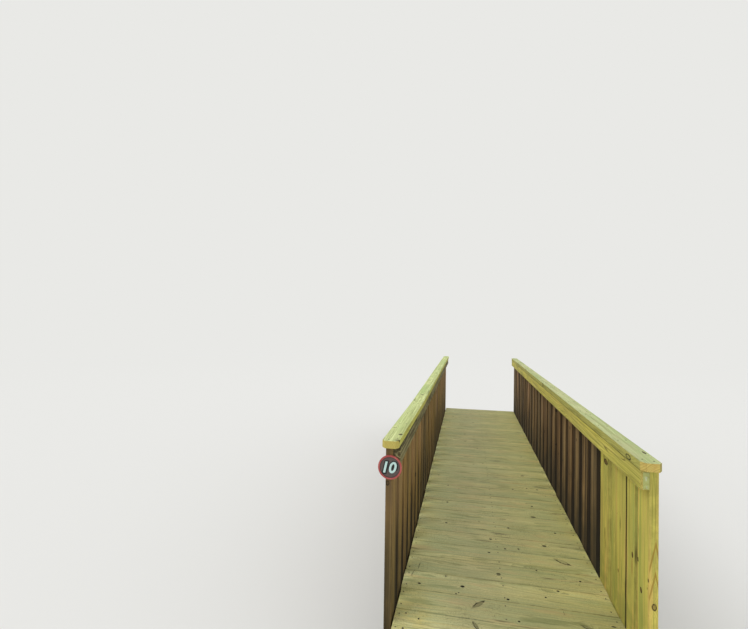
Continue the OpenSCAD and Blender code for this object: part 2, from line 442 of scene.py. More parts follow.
NEW_BOARD_MARKS = {
    "right_near_post": [((RIGHT_INNER_X, -2.923, 0.862), (0.02, 0.005, 0.007), 1.0),
                        ((RIGHT_INNER_X, -2.913, 0.821), (0.02, 0.003, 0.004), 0.6),
                        ((RIGHT_INNER_X, -2.840, 0.771), (0.02, 0.010, 0.011), 1.0),
                        ((RIGHT_INNER_X, -2.799, 0.893), (0.006, 0.008, 0.009), 1.0),
                        ((RIGHT_INNER_X + 0.021, -2.934, 0.752), (0.009, 0.010, 0.014), 0.6)],
    "right_new_board_narrow": [((RIGHT_INNER_X, -2.728, 0.877), (0.02, 0.009, 0.013), 1.0)],
    "right_new_board_last": [((RIGHT_INNER_X, -2.296, 1.199), (0.02, 0.030, 0.015), 0.9)],
}
CAP_MARKS = {
    "left_cap": [((-0.567, -2.751, CAP_TOP), (0.009, 0.013, 0.02), 1.0),
                 ((-0.565, -2.870, CAP_TOP), (0.014, 0.008, 0.02), 1.0),
                 ((-0.622, -2.604, CAP_TOP), (0.010, 0.005, 0.02), 0.6),
                 ((-0.583, -1.407, CAP_TOP), (0.010, 0.014, 0.02), 1.0)],
    "right_cap": [((0.618, -2.780, CAP_TOP), (0.005, 0.022, 0.02), 1.0),
                  ((0.549, -2.785, CAP_TOP - 0.024), (0.02, 0.030, 0.011), 0.1)],
}
# Soft stains on the inner faces of the new boards: place and half size along Y and Z, and colour
NEW_BOARD_STAINS = (
    ((-2.724, 0.815), (0.012, 0.075), (152, 96, 48)),
    ((-2.551, 0.950), (0.016, 0.060), (108, 112, 44)),
    ((-2.575, 0.700), (0.010, 0.130), (118, 124, 56)),
)
# Tips of the two arches of grain on the near face of the near post, along X and Z, and their slope
POST_ARCHES = ((0.613, 1.029), (0.612, 0.897))
ARCH_SLOPE = 4.5
KNOTS_A_PLANK = 8
FIRST_GUESSED_PLANK = 7
KNOT_END_X = 0.54
KNOT_SPAN_X = 1.2  # metres across the deck that a ramp's values from 0 to 1 stand for
KNOT_SPAN_R = 50.0  # the same for a knot's half size, in millimetres
SMALLEST_KNOT = 0.0005


def knots_by_plank():
    """The knots of each plank: the seen ones, and guessed ones on the planks too far away to read."""
    luck = random.Random(bpy.context.scene.footbridge_sizes.seed)
    planks = [[] for _ in range(PLANK_COUNT)]
    for plank, *knot in SEEN_KNOTS:
        planks[plank].append(knot)
    for plank in planks[FIRST_GUESSED_PLANK:]:
        for _ in range(luck.choice((0, 1, 1, 2, 2, 3))):
            half = luck.choice((2, 3, 3, 4, 4, 5, 5, 6, 9))
            spot = luck.uniform(-KNOT_END_X, KNOT_END_X), luck.uniform(0.08, 0.92)
            plank.append((*spot, half * luck.uniform(1.1, 1.7), half))
    return planks


def plank_knots(t, given):
    """Knots of the deck planks. Each ramp holds one knot for every plank, as place and size in its stops."""
    planks = knots_by_plank()
    this_plank = (given["Plank"] + 0.5) / float(PLANK_COUNT)
    core = rim = nearness = small = 0.0
    wobble = (t.noise((given["Across"] * 55.0, given["Along"] * 55.0, given["Plank"]), 1.0) - 0.5) * 0.5
    for k in range(KNOTS_A_PLANK):
        ramp = t.add("ValToRGB", {"Fac": this_plank})
        ramp.color_ramp.interpolation = "CONSTANT"
        stops = ramp.color_ramp.elements
        for plank, knots in enumerate(planks):
            stop = stops[plank] if plank < 2 else stops.new(plank / PLANK_COUNT)
            stop.position = plank / PLANK_COUNT
            x, share, half_along, half_across = knots[k] if k < len(knots) else (0.0, 0.0, 0.0, 0.0)
            stop.color = (x / KNOT_SPAN_X + 0.5, share, half_along / KNOT_SPAN_R, half_across / KNOT_SPAN_R)
        place_x, place_y, size = t.channels(Value(t, ramp.outputs["Color"]))
        half_x = size * (KNOT_SPAN_R / 1000)
        half_y = t.most(Value(t, ramp.outputs["Alpha"]) * (KNOT_SPAN_R / 1000), SMALLEST_KNOT)
        u = (given["Across"] - (place_x - 0.5) * KNOT_SPAN_X) / t.most(half_x, SMALLEST_KNOT)
        v = (given["Along"] - place_y * PLANK_W) / half_y
        reach = t.either(0.2, t.size_of(u, v), abs(u) + abs(v)) + wobble
        shown = half_x > 0.001
        this_core = shown * reach.span(1.1, 0.75)
        core = t.most(core, this_core)
        rim = t.most(rim, shown * (reach.span(1.45, 1.05) * reach.span(0.7, 0.95)))
        nearness = t.most(nearness, shown * reach.span(4.5, 0.5))
        small = t.most(small, this_core * half_x.span(0.013, 0.009))
    return {"Core": core, "Rim": rim, "Nearness": nearness, "Small": small}


def marked_knots(t, marks, found):
    """Adds the knots at known places to those found so far."""
    core, rim, nearness = found["Core"], found["Rim"], found["Nearness"]
    wobble = (t.cloud(60.0) - 0.5) * 0.45
    broken = t.cloud(85.0, 2.0, 0.5, 6.0).span(0.34, 0.50, 0.35, 1.0)
    for centre, half, dark, *slant in marks:
        dx, dy, dz = (axis - spot for axis, spot in zip(t.place, centre))
        turn = math.radians(sum(slant))
        u = (dx * math.cos(turn) + dy * math.sin(turn)) / half[0]
        v = (dy * math.cos(turn) - dx * math.sin(turn)) / half[1]
        reach = t.size_of(t.size_of(u, v), dz / half[2])
        if turn:
            reach = t.either(0.4, reach, abs(u) + abs(v))
        reach = reach + wobble
        ring = reach.span(1.35, 1.0) * reach.span(0.6, 0.9)
        if turn:
            lower = u * 0.4 - v if turn < 0 else u * 0.4 + v
            ring = ring * lower.span(-0.6, 0.4, 0.3, 1.0)
        core = t.most(core, reach.span(1.1, 0.8) * dark)
        rim = t.most(rim, ring * broken)
        nearness = t.most(nearness, reach.span(4.0, 0.5))
    return {**found, "Core": core, "Rim": rim, "Nearness": nearness}


@dataclass
class Wood:
    """The colours and habits of one kind of wood on the bridge."""

    pale: tuple
    dark: tuple
    patch: tuple
    streak: tuple
    end: tuple
    knot: tuple = (108, 96, 62)
    rim: tuple = (50, 42, 24)
    ring_width: float = 0.007
    ring_share: float = 0.5
    patch_share: float = 0.5
    streak_share: float = 0.35
    fibre: float = 0.08
    board_spread: float = 0.06
    speckle: float = 0.05
    knot_spacing: float = 0.32
    knot_size: float = 0.011
    knot_share: float = 0.45
    check_share: float = 0.6
    rough: float = 0.78
    grime: float = 0.30


@dataclass
class Board:
    """What a finish knows at a point: the board's number, the place from its middle, the normal and rings."""

    number: Value
    own: list
    normal: tuple
    rings: dict = None


def dress(nodes, material):
    for name in nodes:
        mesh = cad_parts[name].data
        mesh.materials.clear()
        mesh.materials.append(material)


def finish_wood(nodes, name, wood, axes, seat, width, knots=None, marks=(), weather=None):
    """Gives CAD nodes a material of solid wood.

    axes orders the axes of the grain, the width and the thickness, as "yxz" for a cap.
    seat(t) gives a board's number, which only starts the chance of its grain, and its middle.
    knots(t, board) gives knots in place of the scattered ones, and marks more knots at known places.
    weather(t, board, colour) stains the board last, and paints light and shade on it.
    """
    material, t = new_finish(name)
    number, centre = seat(t)
    board = Board(number, [axis - spot for axis, spot in zip(t.place, centre)], t.read("Normal"))
    along, across, through = ("xyz".index(letter) for letter in axes)
    grain = t.xyz(board.own[along], board.own[across], board.own[through])
    lot = t.chance(number + 0.37)
    found = knots(t, board) if knots else t.group("Scattered knots", {
        "Grain": grain, "Board": number, "Spacing": wood.knot_spacing, "Largest": wood.knot_size,
        "Share": wood.knot_share}, scattered_knots)
    if marks:
        found = marked_knots(t, marks, found)
    core, rim = found["Core"], found["Rim"]
    board.rings = rings = t.group("Growth rings", {
        "Grain": grain, "Board": number, "Ring width": wood.ring_width, "Knot nearness": found["Nearness"]},
        growth_rings)

    colour = t.stain(
        wood.pale,
        (rings["Ring"] * wood.ring_share, wood.dark),
        (rings["Patch"].span(0.38, 0.62) * wood.patch_share, wood.patch),
        (rings["Streak"].span(0.46, 0.64) * wood.streak_share, wood.streak))
    fibre = rings["Fibre"] - 0.5
    speck = t.cloud(95.0, 3.0, 0.7, 8.0).span(0.25, 0.75, -1.0, 1.0, smooth=False)
    shade = 1.0 + (lot[0] - 0.5) * (2.0 * wood.board_spread)
    shade = shade * (1.0 + fibre * (2.0 * wood.fibre)) * (1.0 + speck * wood.speckle)
    colour = t.blend(1.0, colour, t.xyz(shade, shade, shade), "MULTIPLY")
    # The sawn ends drink more water and dirt than the faces, and grime gathers along the arrises
    sawn_end = abs(board.normal[along]).span(0.7, 0.9)
    arris = abs(board.own[across]).span(width / 2 - 0.008, width / 2 - 0.001)
    grime = arris * t.cloud(11.0, 4.0, 0.65).span(0.35, 0.65)
    colour = t.stain(
        colour,
        (sawn_end * 0.8, t.blend(rings["Ring"] * 0.6, wood.end, wood.dark)),
        (grime * wood.grime, wood.rim))
    if weather:
        colour = weather(t, board, colour)
    dark_heart = t.cloud(150.0, 3.0, 0.6, 2.0).span(0.40, 0.66) * 0.7
    colour = t.stain(colour, (core, t.blend(dark_heart, wood.knot, wood.rim)), (rim, wood.rim))
    if "Small" in found:
        colour = t.blend(found["Small"], colour, (20, 16, 8))
    checks = rings["Check"] * (1.0 - sawn_end)
    colour = t.blend(checks * wood.check_share, colour, wood.rim)
    height = rings["Ring"] * 0.5 + rings["Fibre"] * 0.8 - (rim * 0.8 + checks * 1.5)
    t.surface(colour, wood.rough + fibre * 0.18, (height, 0.45, 0.0012), {"Specular IOR Level": 0.28})
    dress(nodes, material)


def finish_single(node, name, wood, axes, number, **settings):
    """Gives a node that is one board its own material of solid wood."""
    low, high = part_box(node)
    width = (high - low)["xyz".index(axes[1])]
    # The number comes from a Math node, so that the sums with it are made by nodes, as for a row
    finish_wood([node], name, wood, axes, lambda t: (t.math("ADD", 0.0, float(number)), middle(node)),
                width, **settings)


def row_seat(first, pitch, start):
    """The seat of a row of boards, from its first board's middle and the number that it starts at."""
    def seat(t):
        turn = ((t.place[1] - (first.y - pitch / 2)) / pitch).floor()
        return turn + float(start), (first.x, turn * pitch + first.y, 0.0)
    return seat


def plank_seat(t):
    """A deck plank's number, from the near end, and its middle."""
    gap = PLANK_PITCH - PLANK_W
    plank = ((t.place[1] - (DECK_START - gap / 2)) / PLANK_PITCH).floor()
    return plank, (0.0, plank * PLANK_PITCH + (DECK_START + PLANK_W / 2), DECK_MIDDLE_Z)


def cross_seat(t):
    """The number of a header or block, from its row and its side of the middle stringer, and its middle."""
    x, y, _ = t.place
    row = (y + 0.5).floor()
    return row * 2.0 + (x > 0.0) + 60.0, (0.0, row, middle("left_stringer").z)


def cap_seat(node, number):
    """The seat of a cap, which is two boards end to end."""
    low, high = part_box(node)
    return lambda t: ((t.place[1] > low.y + CAP_NEAR_L) + float(number), (low + high) / 2)


def deck_knots(t, board):
    return t.group("Plank knots", {
        "Plank": board.number, "Across": t.place[0], "Along": board.own[1] + PLANK_W / 2}, plank_knots)


def deck_weather(t, board, colour):
    """Yellower plank ends, drifts, mould, a dim near end, painted light on the left side and a dull track for
    feet.
    """
    x, y, _ = t.place
    mottle = t.cloud(5.0, 3.0, 0.6, 4.0).span(0.35, 0.65)
    near_end = y.span(DECK_START + 0.50, DECK_START + 0.12) * (x + mottle * 0.05).span(-0.34, -0.44)
    drift = t.noise((x * 2.6, y * 17.0, 7.0), 3.0, 0.6)
    mould = t.cloud(150.0, 2.0, 0.6, 11.0).span(0.56, 0.66) * t.cloud(4.5, 3.0, 0.6, 9.0).span(0.44, 0.62)
    colour = t.stain(
        colour,
        (abs(x).span(0.40, 0.57) * mottle * 0.45, (184, 174, 104)),
        (near_end * 0.45 * t.cloud(8.0, 3.0, 0.6, 1.0).span(0.3, 0.6), (204, 184, 110)),
        (drift.span(0.55, 0.68) * 0.42, (196, 172, 128)),
        (drift.span(0.45, 0.33) * 0.50, (126, 134, 88)),
        (mould * 0.45, (82, 82, 42)))
    # Darker at the near end, and painted light to the left against the left railing's shadow
    dim = y.span(DECK_START + 0.50, DECK_START + 0.34) * x.span(-0.40, -0.15, 0.06, 0.20)
    painted_light_and_dim = x.span(0.30, -0.45, 1.03, 1.20) * (1.0 - dim)
    green, blue = painted_light_and_dim * x.span(-0.15, -0.45, 0.985, 1.02), painted_light_and_dim * x.span(-0.35, 0.5, 0.96, 0.77)
    colour = t.blend(1.0, colour, t.xyz(painted_light_and_dim, green, blue), "MULTIPLY")
    track = abs(x).span(0.42, 0.10) * t.cloud(3.1, 4.0, 0.6).span(0.40, 0.70)
    return t.blend(track * 0.16, colour, (128, 124, 92))


def cap_weather(t, board, colour):
    """Painted shade: the caps' sides darker and yellower than the tops. Painted light: the left cap lighter.
    """
    (x, y, z), (normal_x, normal_y, normal_z), ring = t.place, board.normal, board.rings["Ring"]
    on_right = x.span(-0.1, 0.1)
    streak = t.noise((x * 85.0, y * 3.0, z * 85.0), 3.0, 0.65)
    drift = t.noise((x * 12.0, y * 1.3, 3.0), 2.0, 0.5)
    bleached = on_right * t.cloud(14.0, 4.0, 0.7, 5.0).span(0.42, 0.62)
    # Painted shade: the side faces get this darker, yellower colour in place of the tops' colour
    side = t.stain(
        bpy.context.scene.footbridge_colours.cap_side_painted_shade,
        (ring * 0.5, (128, 118, 46)),
        (streak.span(0.52, 0.60) * 0.50, (128, 120, 50)))
    colour = t.stain(
        colour,
        (streak.span(0.52, 0.64) * 0.36, (136, 146, 88)),
        (streak.span(0.46, 0.36) * 0.28, (218, 226, 172)),
        (drift.span(0.50, 0.66) * 0.45, (164, 188, 120)),
        (bleached * 0.30, (196, 182, 140)),
        (abs(normal_z).span(0.75, 0.30) * 0.85, side))
    # Painted light: the left cap is brightened and the right cap dimmed, to even out the lamps' light on them
    painted_light_tone = t.blend(on_right, (1.08, 1.12, 1.02, 1.0), (0.93, 0.94, 0.94, 1.0))
    colour = t.blend(1.0, colour, painted_light_tone, "MULTIPLY")
    damp = t.cloud(42.0, 2.0, 0.5, 3.0).span(0.42, 0.60) * x.span(-0.1, 0.1, 0.15, 0.5)
    far_clip = normal_x.span(0.35, 0.60) * on_right
    sawn = t.stain(
        t.blend(on_right, (197, 183, 98), (212, 188, 104)),
        (damp, (196, 152, 82)),
        (ring * 0.7, (160, 134, 62)),
        (far_clip * 0.65, (132, 130, 62)))
    return t.blend(abs(normal_y).span(0.35, 0.60) * 0.9, colour, sawn)


def new_board_weather(t, board, colour):
    """Orange and green drifts in the new boards, and painted shade in their gaps and on their outer faces."""
    (x, y, z), number, normal_y = t.place, board.number, board.normal[1]
    across = x + y
    drift = t.noise((across * 22.0, z * 0.8, number * 5.3), 2.0, 0.5)
    lines = t.noise((across * 60.0, z * 1.3, number * 2.9), 3.0, 0.6)
    outside = x.span(RIGHT_OUTER_X - 0.004, RIGHT_OUTER_X - 0.001)
    inside = x.span(RIGHT_INNER_X + 0.006, RIGHT_INNER_X + 0.002)
    # Painted shade: weaker drifts and a greyer, darker wash on the outer faces, against the key lamp's
    # stronger light
    strength = t.either(outside, 0.60, 0.28)
    colour = t.stain(
        colour,
        (drift.span(0.54, 0.66) * strength, (228, 186, 106)),
        (drift.span(0.46, 0.36) * strength, (156, 168, 80)),
        (outside * 0.30, (172, 164, 108)),
        (lines.span(0.52, 0.62) * 0.55, (134, 132, 52)))
    for (spot_y, spot_z), (half_y, half_z), shade in NEW_BOARD_STAINS:
        spot = t.size_of((y - spot_y) / half_y, (z - spot_z) / half_z).span(1.0, 0.0)
        colour = t.blend(spot * inside * 0.75, colour, shade)
    for tip_x, tip_z in POST_ARCHES:
        off = abs(z - tip_z + abs(x - tip_x) * ARCH_SLOPE)
        on_face = y.span(RIGHT_FACE_Y + 0.006, RIGHT_FACE_Y + 0.002)
        arch = off.span(0.024, 0.006) * normal_y.span(-0.5, -0.8) * on_face
        colour = t.blend(arch * 0.65, colour, (146, 108, 30))
    foot = z.span(0.85, 0.50) * t.cloud(9.0, 3.0, 0.6).span(0.35, 0.60)
    # Painted shade on the board edges in the gaps, darkest in the slit between the narrow and the wide board
    gap = abs(normal_y).span(0.5, 0.8) * y.span(RIGHT_FACE_Y + 0.002, RIGHT_FACE_Y + 0.006)
    return t.stain(
        colour,
        (foot * inside * 0.45, (118, 126, 64)),
        (gap * 0.28, (112, 112, 62)),
        (abs(y - SLIT_Y).span(0.014, 0.010) * gap * 0.85, (36, 34, 18)))


def new_rail_weather(t, board, colour):
    """New side rail: dark lines along it, painted shade under the cap and a painted highlight on its lower
    arris.
    """
    x, y, z = t.place
    lines = t.noise((y * 1.6, z * 80.0, x * 80.0), 3.0, 0.6)
    face = 1.0 - abs(board.normal[1]).span(0.7, 0.9)
    # The last two layers are painted shade below the cap and a painted highlight along the lower arris
    return t.stain(
        colour,
        (lines.span(0.54, 0.62) * 0.50, (122, 118, 46)),
        (lines.span(0.45, 0.38) * 0.35, (226, 216, 130)),
        (z.span(RAIL_HIGH.z - 0.009, RAIL_HIGH.z - 0.003) * face * 0.60, (92, 88, 34)),
        (z.span(RAIL_LOW.z + 0.005, RAIL_LOW.z + 0.001) * face * 0.55, (228, 220, 138)))


def old_rail_weather(t, board, colour):
    """Old side rail: pale, faded bands and dark, damp ones along it, and painted shade under the cap."""
    x, y, z = t.place
    bands = t.noise((y * 2.4, z * 70.0, x * 40.0), 3.0, 0.6)
    # ragged frays the lower edge of the painted shade under the cap
    ragged = (t.cloud(24.0, 3.0, 0.6, 5.0) - 0.5) * 0.05
    return t.stain(
        colour,
        (bands.span(0.51, 0.60) * 0.65, (60, 54, 28)),
        (bands.span(0.48, 0.39) * 0.60, (164, 158, 112)),
        (t.cloud(13.0, 4.0, 0.65, 2.0).span(0.54, 0.66) * 0.6, (46, 42, 22)),
        ((z + ragged).span(RAIL_HIGH.z - 0.016, RAIL_HIGH.z - 0.004) * 0.65, (34, 31, 16)))


def old_board_weather(side, near_face, far_face, foot_dark_share, gap_shade_share):
    """Old boards: pale ribs, painted gap shade, painted sun on some tops, darker feet, rust below the nails
    outside.
    """
    def weather(t, board, colour):
        (x, y, z), number, off_middle = t.place, board.number, abs(board.own[1])
        across = x + y
        ribs = t.noise((across * 110.0, z * 0.9, number * 7.7), 3.0, 0.6)
        dark_ribs = t.noise((across * 70.0, z * 1.3, number * 3.1), 2.0, 0.6)
        broad = t.noise((across * 24.0, z * 0.7, number * 1.9), 2.0, 0.6)
        lot = t.chance(number + 0.71)
        # Painted shade on the board edges in the gaps, deeper lower down
        gap = abs(board.normal[1]).span(0.5, 0.8)
        gap = gap * y.span(near_face + 0.002, near_face + 0.006) * y.span(far_face - 0.002, far_face - 0.006)
        # Painted light: paler, pinker upper parts on some boards, as patches of sun
        painted_sun_tops = lot[2].span(0.60, 0.90, smooth=False) * z.span(0.75, 1.10)
        # The boards get darker towards their feet
        foot = (z + (t.cloud(5.0, 3.0, 0.6) - 0.5) * 0.55).span(0.95, 0.42)
        below = 0.0
        for row in NAIL_ROWS:
            below = t.most(below, z.span(row + 0.004, row - 0.004) * z.span(row - RUST_L, row))
        outside = board.normal[0] * float(side) > 0.5
        rust = abs(off_middle - NAIL_FROM_MIDDLE).span(0.010, 0.002) * below
        rust = rust * (outside * t.cloud(30.0, 3.0, 0.6).span(0.25, 0.60))
        return t.stain(
            colour,
            (ribs.span(0.50, 0.62) * 0.50, (150, 128, 88)),
            (dark_ribs.span(0.50, 0.64) * 0.45, (48, 38, 20)),
            (broad.span(0.52, 0.60) * 0.60, (58, 42, 22)),
            (broad.span(0.47, 0.39) * 0.52, (176, 144, 94)),
            (lot[1].span(0.45, 0.95, smooth=False) * 0.30, (96, 90, 64)),
            (lot[1].span(0.45, 0.05, smooth=False) * 0.30, (124, 92, 54)),
            (gap * z.span(1.15, 0.60, gap_shade_share, 0.88), (22, 17, 11)),
            (off_middle.span(BOARD_W / 2 - 0.012, BOARD_W / 2 - 0.002) * 0.26, (40, 32, 20)),
            (painted_sun_tops * 0.40, (178, 138, 98)),
            (foot * foot_dark_share, (42, 39, 29)),
            (rust * 0.55, (96, 50, 24)))
    return weather


def metal_finish(name, clean, stain, stain_share, rough, metallic):
    """Metal that is stained in spots, as a coated screw or an old nail is."""
    material, t = new_finish(name)
    fine = t.cloud(900.0, 3.0, 0.6).span(0.35, 0.65)
    coarse = t.cloud(45.0, 2.0, 0.5, 5.0).span(0.30, 0.70)
    stained = t.math("ADD", fine * 0.5, coarse * 0.5, clamp=True) * stain_share
    t.surface(t.blend(stained, clean, stain), t.either(stained, rough, 0.85), (fine, 0.3, 0.0002),
              {"Metallic": metallic})
    return material


def start_piece(adder, name, **settings):
    """Adds a primitive with nothing else selected, and opens it in edit mode."""
    bpy.ops.object.select_all(action="DESELECT")
    adder(**settings)
    piece = bpy.context.object
    piece.name = name
    bpy.ops.object.mode_set(mode="EDIT")
    bpy.ops.mesh.select_mode(type="FACE")
    return piece


def pick(piece, test, kind="faces"):
    """In edit mode, selects only the faces or verts that pass the test."""
    bpy.ops.mesh.select_mode(type={"faces": "FACE", "verts": "VERT"}[kind])
    bpy.ops.mesh.select_all(action="DESELECT")
    shape = bmesh.from_edit_mesh(piece.data)
    for part in getattr(shape, kind):
        part.select_set(test(part))
    shape.select_flush_mode()
    bmesh.update_edit_mesh(piece.data)


def close_piece(piece, smooth_below=math.radians(40)):
    """Leaves edit mode with the normals outward and the piece's place in its mesh, and returns the piece."""
    bpy.ops.mesh.select_all(action="SELECT")
    bpy.ops.mesh.normals_make_consistent(inside=False)
    bpy.ops.object.mode_set(mode="OBJECT")
    bpy.ops.object.transform_apply(location=True, rotation=True, scale=True)
    bpy.ops.object.shade_smooth_by_angle(angle=smooth_below)
    return piece


def make_head(name, sides, diameter, thick, inset, rise):
    """A round fastener's head, facing up and still in edit mode, with its top face raised inside an inset."""
    piece = start_piece(bpy.ops.mesh.primitive_cylinder_add, name, vertices=sides, radius=diameter / 2,
                        depth=thick, location=(0.0, 0.0, 0.0))
    pick(piece, lambda face: face.normal.z > 0.9)
    bpy.ops.mesh.inset(thickness=diameter * inset)
    bpy.ops.transform.translate(value=(0.0, 0.0, rise))
    return piece


def make_star_screw(diameter):
    """A flat screw head with a six-pointed drive, facing up."""
    piece = make_head("screw", 12, diameter, SCREW_T, 0.09, SCREW_CROWN)
    bpy.ops.mesh.inset(thickness=diameter * 0.17)
    bpy.ops.mesh.extrude_region_move(TRANSFORM_OT_translate={"value": (0.0, 0.0, -SCREW_DRIVE_DEPTH)})
    pick(piece, lambda vert: vert.co.xy.length < diameter * 0.3 and round(math.degrees(
        math.atan2(vert.co.y, vert.co.x)) / 30.0) % 2 == 0, "verts")
    bpy.ops.transform.resize(value=SCREW_DRIVE_WAIST, center_override=(0.0, 0.0, 0.0))
    return close_piece(piece)


def make_nail_head(diameter):
    """A slightly domed nail head, facing up."""
    return close_piece(make_head("nail", 10, diameter, NAIL_T, 0.16, NAIL_CROWN))


def spread(model, name, places, material):
    """Copies a model to every place, each copy with its own mesh, and joins them to one piece."""
    copies = []
    for place in places:
        copy = model.copy()
        copy.data = model.data.copy()
        copy.data.transform(place)
        bpy.context.scene.collection.objects.link(copy)
        copies.append(copy)
    bpy.data.objects.remove(model)
    bpy.ops.object.select_all(action="DESELECT")
    for copy in copies:
        copy.select_set(True)
    piece = bpy.context.view_layer.objects.active = copies[0]
    bpy.ops.object.join()
    piece.name = name
    piece.data.materials.clear()
    piece.data.materials.append(material)
    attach(piece, "root")


def facing(axis, place, spin=0.0):
    """The matrix that puts a head made facing up on a surface that faces along an axis."""
    turn = Vector(axis).to_track_quat("Z", "Y").to_matrix().to_4x4()
    return Matrix.Translation(place) @ turn @ Matrix.Rotation(spin, 4, "Z")


def drive(head, name, material, spots, axis, slack, seed):
    """Drives a head into every spot of a surface, each moved by chance within its slack and turned."""
    luck = random.Random(seed)
    places = []
    for spot in spots:
        place = [at + luck.uniform(-off, off) if off else at for at, off in zip(spot, slack)]
        places.append(facing(axis, place, luck.uniform(0.0, 1.0)))
    spread(head, name, places, material)


class FootbridgeOperator(bpy.types.Operator):
    """Shared settings of the operators that dress the bridge."""

    bl_options = {"REGISTER", "UNDO"}


class FOOTBRIDGE_OT_deck(FootbridgeOperator):
    """Give the deck planks their new treated pine"""

    bl_idname = "footbridge.deck"
    bl_label = "Deck planks"

    def execute(self, context):
        c = context.scene.footbridge_colours
        pine = Wood(c.deck_pale, c.deck_dark, c.deck_green, c.deck_yellow, (150, 136, 86),
                    knot=(102, 98, 60), rim=(32, 27, 14), ring_width=0.0085, ring_share=0.66,
                    streak_share=0.46, fibre=0.28, speckle=0.13)
        finish_wood(DECK_NODES, "Deck pine", pine, "xyz", plank_seat, PLANK_W, deck_knots, DECK_MARKS,
                    deck_weather)
        return {"FINISHED"}


class FOOTBRIDGE_OT_under_frame(FootbridgeOperator):
    """Give the sills, stringers, headers and blocking their damp sawn timber"""

    bl_idname = "footbridge.under_frame"
    bl_label = "Frame under the deck"

    def execute(self, context):
        c = context.scene.footbridge_colours
        frame_wood = Wood(c.frame_pale, c.frame_dark, (112, 110, 76), (84, 76, 50), (108, 96, 64),
                          ring_width=0.008, board_spread=0.1, fibre=0.12, knot_size=0.02)
        sill_wood = Wood(c.sill_pale, c.sill_dark, (82, 78, 54), (60, 50, 32), (88, 74, 50),
                         streak_share=0.5, fibre=0.2, rough=0.9, knot_size=0.025, grime=0.5)
        for k, name in enumerate(STRINGER_NODES):
            finish_single(name, f"Stringer timber {k + 1}", frame_wood, "yzx", 40 + k)
        finish_wood(CROSS_NODES, "Cross block timber", frame_wood, "xzy", cross_seat, STRINGER_H)
        for k, name in enumerate(SILL_NODES):
            finish_single(name, f"Sill timber {k + 1}", sill_wood, "xyz", 80 + k)
        return {"FINISHED"}


class FOOTBRIDGE_OT_left_railing(FootbridgeOperator):
    """Give the left railing its old boards and old side rail"""

    bl_idname = "footbridge.left_railing"
    bl_label = "Left railing"

    def execute(self, context):
        c = context.scene.footbridge_colours
        old = Wood(c.left_pale, c.left_dark, (104, 90, 50), (66, 52, 25), (70, 58, 40),
                   knot=(72, 58, 36), rim=(34, 26, 14), ring_width=0.007, ring_share=0.6, streak_share=0.55,
                   board_spread=0.16, fibre=0.25, rough=0.88)
        weather = old_board_weather(-1, LEFT_FACE_Y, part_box("left_far_post")[1].y, 0.50, 0.20)
        finish_wood(LEFT_OLD_NODES, "Old boards left", old, "zyx", row_seat(*LEFT_ROW, 100), BOARD_W,
                    marks=LEFT_BOARD_MARKS, weather=weather)
        rail = Wood(c.rail_pale, c.rail_dark, (100, 94, 70), (72, 60, 40), (96, 84, 60),
                    ring_width=0.012, ring_share=0.7, streak_share=0.5, fibre=0.25, rough=0.88)
        finish_single("left_side_rail", "Old side rail", rail, "yzx", 143, weather=old_rail_weather)
        return {"FINISHED"}


class FOOTBRIDGE_OT_right_railing(FootbridgeOperator):
    """Give the right railing its old boards, its new boards and its new side rail"""

    bl_idname = "footbridge.right_railing"
    bl_label = "Right railing"

    def execute(self, context):
        c = context.scene.footbridge_colours
        old = Wood(c.right_pale, c.right_dark, (64, 55, 40), (44, 34, 22), (60, 48, 34),
                   knot=(56, 44, 30), rim=(28, 22, 14), ring_width=0.006, ring_share=0.6, streak_share=0.8,
                   board_spread=0.32, fibre=0.25, rough=0.88)
        weather = old_board_weather(1, RIGHT_FACE_Y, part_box("right_far_post")[1].y, 0.78, 0.70)
        finish_wood(RIGHT_OLD_NODES, "Old boards right", old, "zyx", row_seat(*RIGHT_ROW, 200), BOARD_W,
                    weather=weather)
        new = Wood(c.new_pale, c.new_dark, (166, 164, 82), (198, 170, 100), (186, 166, 92),
                   knot=(116, 90, 42), rim=(58, 40, 18), ring_width=0.008, ring_share=0.70, board_spread=0.05,
                   knot_size=0.006, knot_share=0.12)
        for k, name in enumerate(RIGHT_NEW_NODES):
            finish_single(name, f"New board {k + 1}", new, "zyx", 250 + k,
                          marks=NEW_BOARD_MARKS.get(name), weather=new_board_weather)
        finish_single("right_side_rail", "New side rail", new, "yzx", 260, weather=new_rail_weather)
        return {"FINISHED"}


class FOOTBRIDGE_OT_caps(FootbridgeOperator):
    """Give the two caps their pale green pine"""

    bl_idname = "footbridge.caps"
    bl_label = "Caps"

    def execute(self, context):
        c = context.scene.footbridge_colours
        pine = Wood(c.cap_pale, c.cap_dark, (170, 184, 126), (154, 158, 98), (216, 182, 98),
                    rim=(36, 36, 18), ring_width=0.008, ring_share=0.62, streak_share=0.50, fibre=0.20,
                    board_spread=0.03, speckle=0.09, knot_spacing=0.5, knot_size=0.009, knot_share=0.3)
        for k, name in enumerate(CAP_NODES):
            finish_wood([name], f"Cap pine {k + 1}", pine, "yxz", cap_seat(name, 300 + 10 * k), CAP_W,
                        marks=CAP_MARKS[name], weather=cap_weather)
        return {"FINISHED"}


class FOOTBRIDGE_OT_deck_screws(FootbridgeOperator):
    """Drive two screws through every plank into each of the three stringers"""

    bl_idname = "footbridge.deck_screws"
    bl_label = "Deck screws"

    def execute(self, context):
        sizes = context.scene.footbridge_sizes
        spots = [(x * SCREW_ROW_IN, DECK_START + plank * PLANK_PITCH + PLANK_W / 2 + beside, DECK_TOP)
                 for plank in range(PLANK_COUNT) for x in STRINGER_X
                 for beside in (-SCREW_FROM_MIDDLE, SCREW_FROM_MIDDLE)]
        coated = metal_finish("Coated screw", (84, 78, 58), (52, 42, 30), 0.7, 0.5, 0.4)
        drive(make_star_screw(sizes.deck_screw_d), "deck_screws", coated, spots, (0, 0, 1), SCREW_SLACK,
              sizes.seed + 1)
        return {"FINISHED"}


